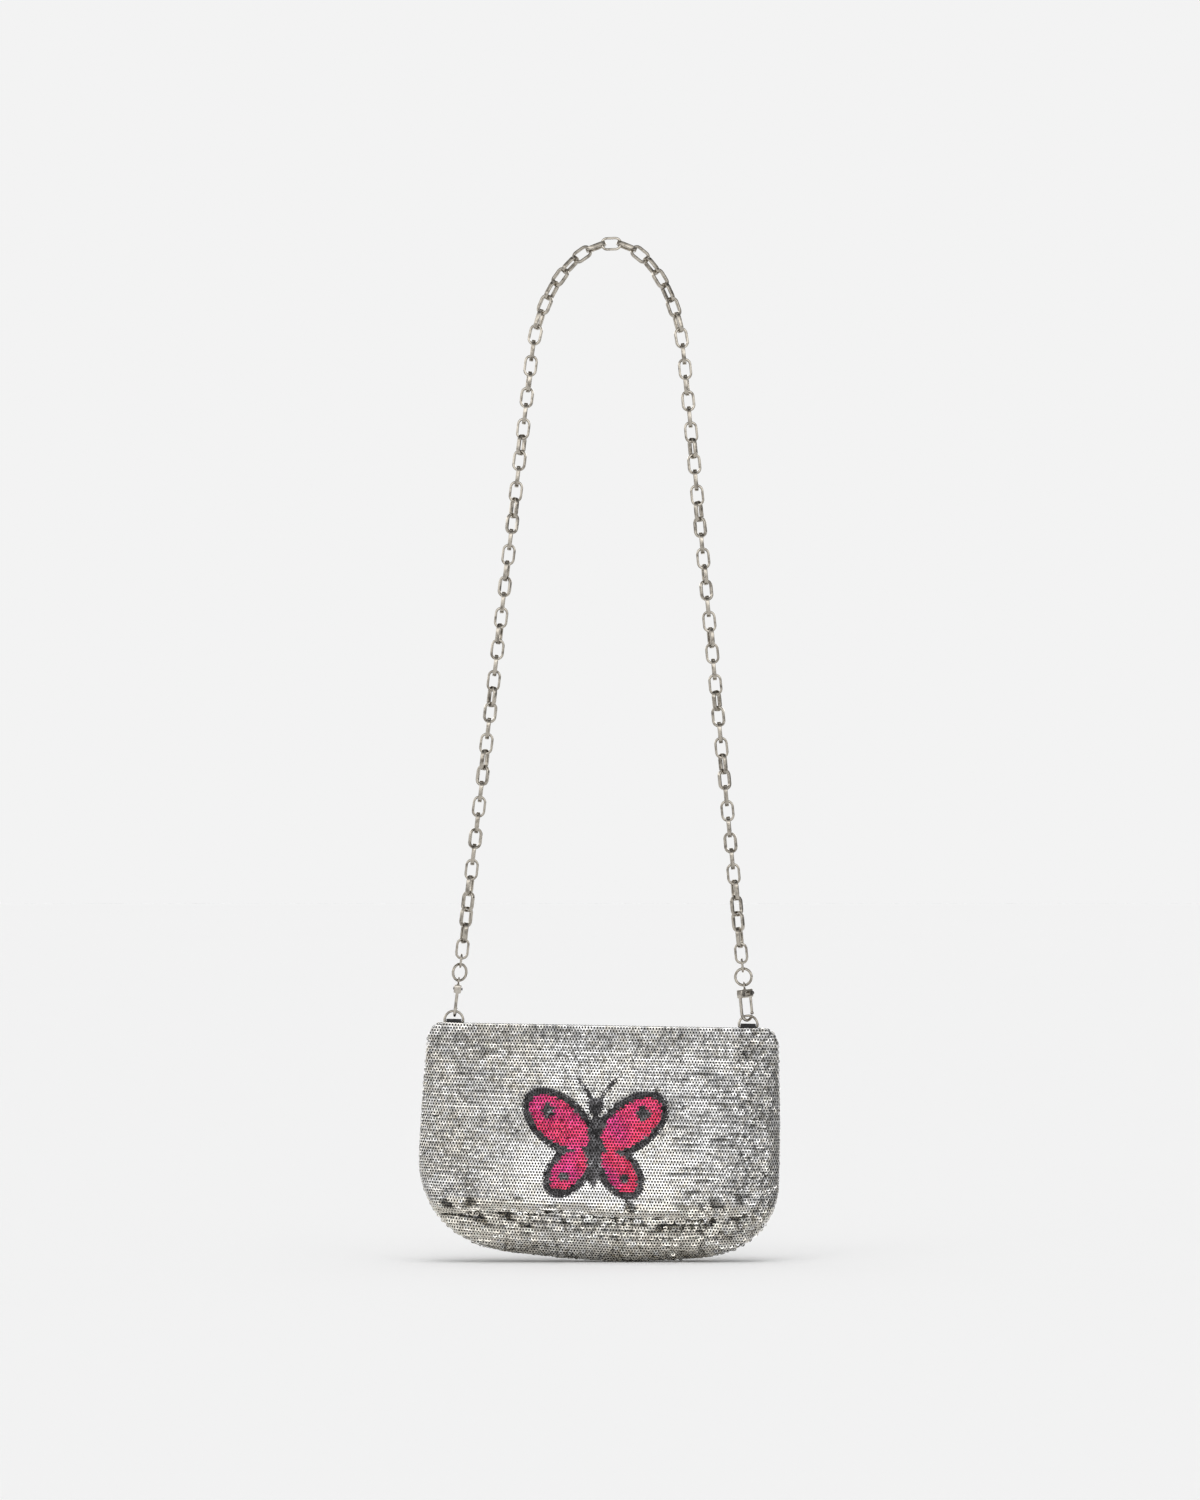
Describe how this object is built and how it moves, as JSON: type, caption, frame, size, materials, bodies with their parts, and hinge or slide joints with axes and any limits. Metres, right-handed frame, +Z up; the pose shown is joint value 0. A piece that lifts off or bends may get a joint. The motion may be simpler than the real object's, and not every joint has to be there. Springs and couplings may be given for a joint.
{
  "type": "sequin shoulder bag",
  "caption": "Zipped sequin pouch hung by D rings and swivel hooks on a long shoulder chain of flat links.",
  "frame": {"origin": "the point under the top link of the chain, where the bag hangs from a peg", "axes": "+Z up along the hanging bag, +X to the right seen from the front, the front faces -Y"},
  "size_m": [0.2502, 0.0402, 0.7102],
  "materials": {
    "nickel": "polished nickel plate with a slight warm tint",
    "dark_rivet": "dark steel pin",
    "sequin_cloth": "black mesh covered with overlapping metallic sequins, silver ground with a pink and black motif",
    "tab_ribbon": "black grosgrain ribbon",
    "lining_satin": "black satin",
    "zip_tape": "black woven tape",
    "zip_coil": "black nylon coil"
  },
  "bodies": {
    "chain_crown": {"chain_crown": "nickel"},
    "chain_run_1": {"chain_left_1": "nickel", "chain_right_1": "nickel"},
    "chain_run_2": {"chain_left_2": "nickel", "chain_right_2": "nickel"},
    "chain_run_3": {"chain_left_3": "nickel", "chain_right_3": "nickel"},
    "chain_run_4": {"chain_left_4": "nickel", "chain_right_4": "nickel"},
    "chain_run_5": {"chain_left_5": "nickel", "chain_right_5": "nickel"},
    "chain_run_6": {"chain_left_6": "nickel", "chain_right_6": "nickel"},
    "chain_run_7": {"chain_left_7": "nickel", "chain_right_7": "nickel"},
    "chain_run_8": {"chain_left_8": "nickel", "chain_right_8": "nickel"},
    "chain_run_9": {"chain_left_9": "nickel", "chain_right_9": "nickel"},
    "clasp_rings": {"jump_ring_left": "nickel", "jump_ring_right": "nickel", "swivel_ring_left": "nickel", "swivel_ring_right": "nickel", "swivel_eye_left": "nickel", "swivel_eye_right": "nickel"},
    "clasp_left": {"swivel_hook_left": "nickel", "gate_pin_left": "dark_rivet"},
    "gate_left": {"gate_left": "nickel"},
    "clasp_right": {"swivel_hook_right": "nickel", "gate_pin_right": "dark_rivet"},
    "gate_right": {"gate_right": "nickel"},
    "d_rings": {"d_ring_left": "nickel", "d_ring_right": "nickel"},
    "pouch": {"front_panel": "sequin_cloth", "back_panel": "sequin_cloth", "lining_front": "lining_satin", "lining_back": "lining_satin", "zip_tape_front": "zip_tape", "zip_tape_back": "zip_tape", "zip_coil_front": "zip_coil", "zip_coil_back": "zip_coil", "zip_stop_left": "nickel", "zip_stop_right": "nickel", "tab_left": "tab_ribbon", "tab_right": "tab_ribbon"},
    "zip_slider": {"zip_slider": "nickel"},
    "zip_pull": {"zip_pull": "nickel"}
  },
  "joints": [
    {"name": "chain_fold_1", "type": "hinge", "parent": "chain_crown", "child": "chain_run_1", "pos_m": [-0.0035, 0, -0.07389], "axis": [0.9998, 0, -0.0214], "range_deg": [-75, 75]},
    {"name": "chain_fold_2", "type": "hinge", "parent": "chain_run_1", "child": "chain_run_2", "pos_m": [-0.00396, 0, -0.11763], "axis": [-0.9998, 0, 0.0205], "range_deg": [-75, 75]},
    {"name": "chain_fold_3", "type": "hinge", "parent": "chain_run_2", "child": "chain_run_3", "pos_m": [-0.00442, 0, -0.16138], "axis": [0.9998, 0, -0.0197], "range_deg": [-75, 75]},
    {"name": "chain_fold_4", "type": "hinge", "parent": "chain_run_3", "child": "chain_run_4", "pos_m": [-0.00487, 0, -0.20513], "axis": [-0.9998, 0, 0.0191], "range_deg": [-75, 75]},
    {"name": "chain_fold_5", "type": "hinge", "parent": "chain_run_4", "child": "chain_run_5", "pos_m": [-0.00532, 0, -0.24888], "axis": [0.9998, 0, -0.0185], "range_deg": [-75, 75]},
    {"name": "chain_fold_6", "type": "hinge", "parent": "chain_run_5", "child": "chain_run_6", "pos_m": [-0.00578, 0, -0.29263], "axis": [-0.9998, 0, 0.018], "range_deg": [-75, 75]},
    {"name": "chain_fold_7", "type": "hinge", "parent": "chain_run_6", "child": "chain_run_7", "pos_m": [-0.00623, 0, -0.33638], "axis": [0.9998, 0, -0.0176], "range_deg": [-75, 75]},
    {"name": "chain_fold_8", "type": "hinge", "parent": "chain_run_7", "child": "chain_run_8", "pos_m": [-0.00668, 0, -0.38013], "axis": [-0.9999, 0, 0.0172], "range_deg": [-75, 75]},
    {"name": "chain_fold_9", "type": "hinge", "parent": "chain_run_8", "child": "chain_run_9", "pos_m": [-0.00714, 0, -0.42388], "axis": [0.9999, 0, -0.0168], "range_deg": [-75, 75]},
    {"name": "ring_fold", "type": "hinge", "parent": "chain_run_9", "child": "clasp_rings", "pos_m": [-0.00786, 0, -0.49345], "axis": [-0.9999, 0, 0.0163], "range_deg": [-60, 60]},
    {"name": "hook_swivel_left", "type": "hinge", "parent": "clasp_rings", "child": "clasp_left", "pos_m": [-0.10742, 0, -0.50975], "axis": [0.1162, 0, 0.9932], "range_deg": [-44, 44]},
    {"name": "gate_open_left", "type": "hinge", "parent": "clasp_left", "child": "gate_left", "pos_m": [-0.10776, 0.005, -0.51263], "axis": [-0.9932, 0, 0.1162], "range_deg": [0, 22], "stiffness_Nm_per_rad": 0.02, "springref_deg": -5.73},
    {"name": "hook_swivel_right", "type": "hinge", "parent": "clasp_rings", "child": "clasp_right", "pos_m": [0.09133, 0, -0.51298], "axis": [-0.0956, 0, 0.9954], "range_deg": [0, 88]},
    {"name": "gate_open_right", "type": "hinge", "parent": "clasp_right", "child": "gate_right", "pos_m": [0.09507, 0.0036, -0.51553], "axis": [-0.716, 0.6947, -0.0687], "range_deg": [0, 22], "stiffness_Nm_per_rad": 0.02, "springref_deg": -5.73},
    {"name": "d_ring_swing", "type": "hinge", "parent": "clasp_rings", "child": "d_rings", "pos_m": [-0.00821, 0, -0.52757], "axis": [0.9999, 0, -0.0161], "range_deg": [-15, 15]},
    {"name": "pouch_swing", "type": "hinge", "parent": "d_rings", "child": "pouch", "pos_m": [-0.00832, 0, -0.53732], "axis": [-0.9999, 0, 0.0161], "range_deg": [-60, 60]},
    {"name": "zip_slide", "type": "slide", "parent": "pouch", "child": "zip_slider", "axis": [-0.9995, 0, 0.03], "range_m": [0, 0.156]},
    {"name": "pull_flip", "type": "hinge", "parent": "zip_slider", "child": "zip_pull", "pos_m": [0.078, 0, -0.54336], "axis": [0, 1, 0], "range_deg": [0, 110]}
  ]
}
